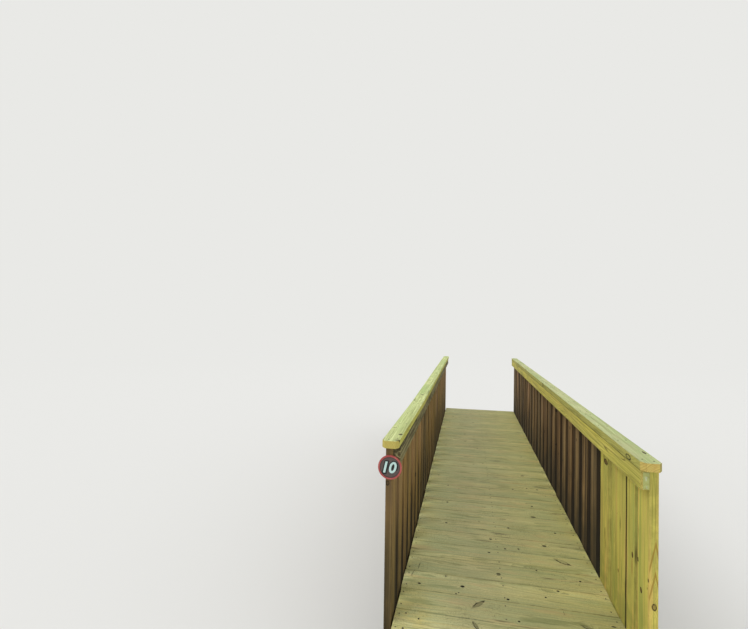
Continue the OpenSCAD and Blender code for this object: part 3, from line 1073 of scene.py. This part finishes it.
class FOOTBRIDGE_OT_railing_nails(FootbridgeOperator):
    """Nail every railing board to its stringer and to its side rail, from outside"""

    bl_idname = "footbridge.railing_nails"
    bl_label = "Railing nails"

    def execute(self, context):
        rusty = metal_finish("Rusty nail", (96, 80, 66), (84, 46, 24), 0.9, 0.7, 0.35)
        zinc = metal_finish("Galvanised nail", (150, 150, 144), (110, 106, 92), 0.6, 0.5, 0.7)
        (left, left_pitch), (right, right_pitch) = LEFT_ROW, RIGHT_ROW
        old_left = [left.y + k * left_pitch for k in range(LEFT_BAYS + 1)]
        old_right = [right.y + k * right_pitch for k in range(1, RIGHT_OLD_BAYS + 1)]
        new_right = [middle(name).y for name in RIGHT_NEW_NODES]
        sizes = context.scene.footbridge_sizes
        for shift, (name, side, x, boards, material) in enumerate((
                ("left_railing_nails", -1, LEFT_OUTER_X, old_left, rusty),
                ("right_railing_old_nails", 1, RIGHT_OUTER_X, old_right, rusty),
                ("right_railing_new_nails", 1, RIGHT_OUTER_X, new_right, zinc)), start=2):
            spots = [(x, y + beside, z) for y in boards for z in NAIL_ROWS
                     for beside in (-NAIL_FROM_MIDDLE, NAIL_FROM_MIDDLE)]
            drive(make_nail_head(sizes.nail_d), name, material, spots, (side, 0, 0), NAIL_SLACK,
                  sizes.seed + shift)
        return {"FINISHED"}


class FOOTBRIDGE_OT_cap_screws(FootbridgeOperator):
    """Screw the caps down to the boards and the side rails"""

    bl_idname = "footbridge.cap_screws"
    bl_label = "Cap screws"

    def execute(self, context):
        sizes = context.scene.footbridge_sizes
        spots = []
        for low, high in map(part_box, CAP_NODES):
            joint = low.y + CAP_NEAR_L
            for start, end in ((low.y, joint), (joint, high.y)):
                run = end - start - 2 * CAP_SCREW_FROM_END
                gaps = max(2, round(run / CAP_SCREW_GAP))
                spots += [(math.copysign(RIGHT_INNER_X + out, low.x),
                           start + CAP_SCREW_FROM_END + run * k / gaps, CAP_TOP)
                          for k in range(gaps + 1) for out in CAP_SCREW_ROWS]
        coated = metal_finish("Coated cap screw", (120, 122, 92), (84, 74, 50), 0.6, 0.5, 0.5)
        drive(make_star_screw(sizes.deck_screw_d), "cap_screws", coated, spots, (0, 0, 1), CAP_SCREW_SLACK,
              sizes.seed + 5)
        return {"FINISHED"}


class FOOTBRIDGE_OT_plaque(FootbridgeOperator):
    """Paint the plaque with a red rim and put a plain number on it"""

    bl_idname = "footbridge.plaque"
    bl_label = "Number plaque"

    def execute(self, context):
        c, sizes = context.scene.footbridge_colours, context.scene.footbridge_sizes
        dress(["number_plaque"], self.paint(c))
        # Name, shift to the right, thickness, rise, growth of the strokes, colour and how much it fades
        for name, shift, thick, rise, grow, shade, fade in (
                ("plaque_number", 0.0, sizes.number_t, 0.0, 0.0, c.plaque_number, 0.25),
                ("plaque_number_outline", 0.0002, sizes.number_t * 0.4, -0.0010, 0.0068, (10, 14, 12), 0.02)):
            piece = self.number(sizes, name, shift, thick, rise, grow)
            material, t = new_finish(name.replace("_", " ").capitalize())
            worn = t.cloud(130.0, 3.0, 0.6).span(0.35, 0.75)
            t.surface(t.blend(worn * fade, shade, (140, 150, 146)), t.either(worn, 0.45, 0.65))
            piece.data.materials.append(material)
            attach(piece, "root")
        return {"FINISHED"}

    def paint(self, c):
        """A dark field, a red rim and a darker line between them, all worn."""
        material, t = new_finish("Plaque paint")
        x, _, z = t.place
        centre = middle("number_plaque")
        radius = t.size_of(x - centre.x, z - centre.z)
        worn = t.cloud(55.0, 4.0, 0.65).span(0.40, 0.72)
        speck = t.cloud(420.0, 2.0, 0.6, 3.0).span(0.60, 0.68)
        inner_line = abs(radius - (RIM_PAINT_R - 0.0018)).span(0.0028, 0.0010)
        field = t.stain(c.plaque_field, (worn * 0.6, (108, 88, 82)), (inner_line * 0.7, (62, 24, 22)))
        rim = t.blend(worn * 0.6, c.plaque_rim, (206, 126, 114))
        colour = t.stain(field, (radius.span(RIM_PAINT_R - 0.0006, RIM_PAINT_R + 0.0006), rim),
                         (speck * 0.35, (120, 104, 96)))
        t.surface(colour, t.either(worn, 0.38, 0.6), (worn, 0.2, 0.0004))
        return material

    def number(self, sizes, name, shift, thick, rise, grow):
        """The number as a raised mesh that faces the near end of the bridge."""
        bpy.ops.object.select_all(action="DESELECT")
        bpy.ops.object.text_add(location=(0.0, 0.0, 0.0))
        bpy.context.object.name = name
        text = bpy.context.object.data
        text.body = sizes.plaque_text
        text.size = sizes.number_h * FIGURE_SIZE
        text.shear = FIGURE_SLANT
        text.offset = sizes.number_h * FIGURE_BOLD + grow
        text.extrude = thick
        text.resolution_u = 4
        text.align_x, text.align_y = "CENTER", "CENTER"
        bpy.ops.object.convert(target="MESH")
        piece = bpy.context.object
        off = (Vector(piece.bound_box[0]) + Vector(piece.bound_box[6])) / 2
        upright = Matrix.Rotation(math.radians(90), 4, "X")
        centre = middle("number_plaque")
        spot = Vector((centre.x + shift, PLAQUE_LOW.y + RIM_RISE, centre.z + rise))
        piece.data.transform(Matrix.Translation(spot) @ upright @ Matrix.Translation((-off.x, -off.y, 0.0)))
        bpy.ops.object.mode_set(mode="EDIT")
        bpy.ops.mesh.select_all(action="SELECT")
        bpy.ops.mesh.remove_doubles(threshold=SAME_PLACE)
        return close_piece(piece)


class FOOTBRIDGE_OT_end_tag(FootbridgeOperator):
    """Staple a blank end tag to the near end of the right side rail"""

    bl_idname = "footbridge.end_tag"
    bl_label = "End tag"

    def execute(self, context):
        sizes = context.scene.footbridge_sizes
        centre = (TAG_X, RAIL_LOW.y, TAG_Z)
        tag = start_piece(bpy.ops.mesh.primitive_plane_add, "end_tag", size=1.0, location=centre,
                          rotation=(math.radians(90), 0.0, 0.0))
        bpy.ops.transform.resize(value=(sizes.tag_w, 1.0, sizes.tag_h), center_override=centre)
        bpy.ops.mesh.select_mode(type="VERT")
        bpy.ops.mesh.select_all(action="SELECT")
        bpy.ops.mesh.bevel(offset=TAG_CORNER, segments=3, affect="VERTICES")
        bpy.ops.mesh.select_mode(type="FACE")
        bpy.ops.mesh.select_all(action="SELECT")
        bpy.ops.mesh.extrude_region_move(TRANSFORM_OT_translate={"value": (0.0, -TAG_T, 0.0)})
        close_piece(tag)
        tag.data.materials.append(self.plastic())
        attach(tag, "root")
        staples = [facing((0, -1, 0), (TAG_X + 0.002, RAIL_LOW.y - 0.0008, TAG_Z + rise), turn)
                   for rise, turn in STAPLES]
        wire = metal_finish("Staple wire", (205, 210, 208), (150, 150, 140), 0.5, 0.35, 0.8)
        spread(self.staple(), "end_tag_staples", staples, wire)
        return {"FINISHED"}

    def staple(self):
        """The back of a staple, with its two bent ends."""
        piece = start_piece(bpy.ops.mesh.primitive_cube_add, "staple", size=1.0, location=(0.0, 0.0, 0.0))
        bpy.ops.transform.resize(value=STAPLE_SIZE, center_override=(0.0, 0.0, 0.0))
        pick(piece, lambda face: abs(face.normal.x) > 0.9)
        bpy.ops.mesh.extrude_region_shrink_fatten(TRANSFORM_OT_shrink_fatten={"value": STAPLE_SIZE[2]})
        pick(piece, lambda vert: abs(vert.co.x) > STAPLE_SIZE[0] / 2 + SAME_PLACE, "verts")
        bpy.ops.transform.translate(value=(0.0, 0.0, -STAPLE_BEND))
        return close_piece(piece)

    def plastic(self):
        """Yellow-green plastic, dirty and scuffed pale around the upper staple."""
        material, t = new_finish("Tag plastic")
        x, _, z = t.place
        dirt = t.cloud(90.0, 4.0, 0.6).span(0.35, 0.70)
        scuff = abs(x - (TAG_X - 0.002)).span(0.006, 0.003) * abs(z - (TAG_Z + 0.0095)).span(0.014, 0.008)
        scuff = scuff * t.cloud(260.0, 3.0).span(0.35, 0.6)
        colour = t.stain((178, 184, 112), (dirt * 0.6, (152, 152, 76)), (scuff * 0.38, (222, 230, 206)))
        t.surface(colour, t.either(dirt, 0.4, 0.7))
        return material


class FOOTBRIDGE_OT_stage(FootbridgeOperator):
    """Lay the pale floor, set the soft lamps and place the camera"""

    bl_idname = "footbridge.stage"
    bl_label = "Stage, lamps and camera"

    def execute(self, context):
        self.floor(context)
        self.lamps(context)
        self.camera(context)
        context.scene.view_settings.view_transform = "Standard"
        return {"FINISHED"}

    def floor(self, context):
        """A wide matt floor that melts into the background far away and is clear from below."""
        bpy.ops.object.select_all(action="DESELECT")
        bpy.ops.mesh.primitive_plane_add(size=FLOOR_SIZE, location=(0.0, 0.0, 0.0))
        floor = context.object
        floor.name = "floor"
        bpy.ops.object.mode_set(mode="EDIT")
        bpy.ops.mesh.subdivide(number_cuts=3)
        bpy.ops.object.mode_set(mode="OBJECT")
        material, t = new_finish("Pale floor")
        shade = context.scene.footbridge_colours.floor
        far = t.size_of(*t.place[:2]).span(*FLOOR_FADE)
        matt = t.get(0, "BsdfPrincipled", {"Base Color": shade, "Roughness": 0.9, "Specular IOR Level": 0.1})
        seen = t.get(0, "Emission", {"Color": shade, "Strength": 1.0})
        rays = t.all("LightPath")
        looked_at = t.most(rays["Is Camera Ray"], rays["Is Glossy Ray"])
        melted = t.get(0, "MixShader", {0: far * looked_at, 1: matt, 2: seen})
        below = t.get("Backfacing", "NewGeometry")
        sides = t.get(0, "MixShader", {0: below, 1: melted, 2: t.get(0, "BsdfTransparent")})
        t.add("OutputMaterial", {"Surface": sides})
        floor.data.materials.append(material)

    def lamps(self, context):
        """Two soft suns under a plain sky, which looks like the floor wherever it is seen."""
        world = bpy.data.worlds.new("Soft studio")
        context.scene.world = world
        world.use_nodes = True
        world.node_tree.nodes.clear()
        t = Tree(world.node_tree)
        rays = t.all("LightPath")
        looked_at = t.most(t.most(rays["Is Camera Ray"], rays["Is Glossy Ray"]), rays["Is Transmission Ray"])
        sky = t.get(0, "Background", {"Color": (1.0, 1.0, 1.0, 1.0), "Strength": SKY_STRENGTH})
        seen = t.get(0, "Background", {"Color": context.scene.footbridge_colours.floor, "Strength": 1.0})
        t.add("OutputWorld", {"Surface": t.get(0, "MixShader", {0: looked_at, 1: sky, 2: seen})})
        for name, strength, angle, aim in LAMPS:
            lamp = bpy.data.lights.new(name, "SUN")
            lamp.energy = strength
            lamp.angle = math.radians(angle)
            holder = bpy.data.objects.new(name, lamp)
            holder.rotation_euler = Vector(aim).to_track_quat("-Z", "Y").to_euler()
            context.scene.collection.objects.link(holder)

    def camera(self, context):
        """The photograph's own camera."""
        lens = bpy.data.cameras.new("camera")
        lens.lens = CAMERA_LENS
        lens.sensor_width = SENSOR_W
        lens.sensor_fit = "HORIZONTAL"
        lens.clip_end = 200.0
        camera = bpy.data.objects.new("camera", lens)
        turn = Matrix.Rotation(CAMERA_TURN, 4, "Z") @ Matrix.Rotation(math.pi / 2 - CAMERA_DOWN, 4, "X")
        camera.matrix_world = Matrix.Translation(CAMERA_PLACE) @ turn @ Matrix.Rotation(CAMERA_ROLL, 4, "Z")
        context.scene.collection.objects.link(camera)
        context.scene.camera = camera


class FOOTBRIDGE_PT_dresser(bpy.types.Panel):
    """Lists the steps that dress the bridge"""

    bl_idname = "FOOTBRIDGE_PT_dresser"
    bl_label = "Footbridge"
    bl_space_type = "VIEW_3D"
    bl_region_type = "UI"
    bl_category = "Footbridge"

    def draw(self, context):
        for step in STEPS:
            self.layout.operator(step.bl_idname)


STEPS = (
    FOOTBRIDGE_OT_under_frame, FOOTBRIDGE_OT_deck, FOOTBRIDGE_OT_left_railing, FOOTBRIDGE_OT_right_railing,
    FOOTBRIDGE_OT_caps, FOOTBRIDGE_OT_deck_screws, FOOTBRIDGE_OT_railing_nails, FOOTBRIDGE_OT_cap_screws,
    FOOTBRIDGE_OT_plaque, FOOTBRIDGE_OT_end_tag, FOOTBRIDGE_OT_stage,
)
CLASSES = (FootbridgeColours, FootbridgeSizes) + STEPS + (FOOTBRIDGE_PT_dresser,)


def register():
    for cls in CLASSES:
        bpy.utils.register_class(cls)
    bpy.types.Scene.footbridge_colours = PointerProperty(type=FootbridgeColours)
    bpy.types.Scene.footbridge_sizes = PointerProperty(type=FootbridgeSizes)


def unregister():
    del bpy.types.Scene.footbridge_sizes
    del bpy.types.Scene.footbridge_colours
    for cls in reversed(CLASSES):
        bpy.utils.unregister_class(cls)


def main():
    """Dresses the bridge."""
    register()
    for step in STEPS:
        group, name = step.bl_idname.split(".")
        getattr(getattr(bpy.ops, group), name)()


if __name__ == "__main__":
    main()
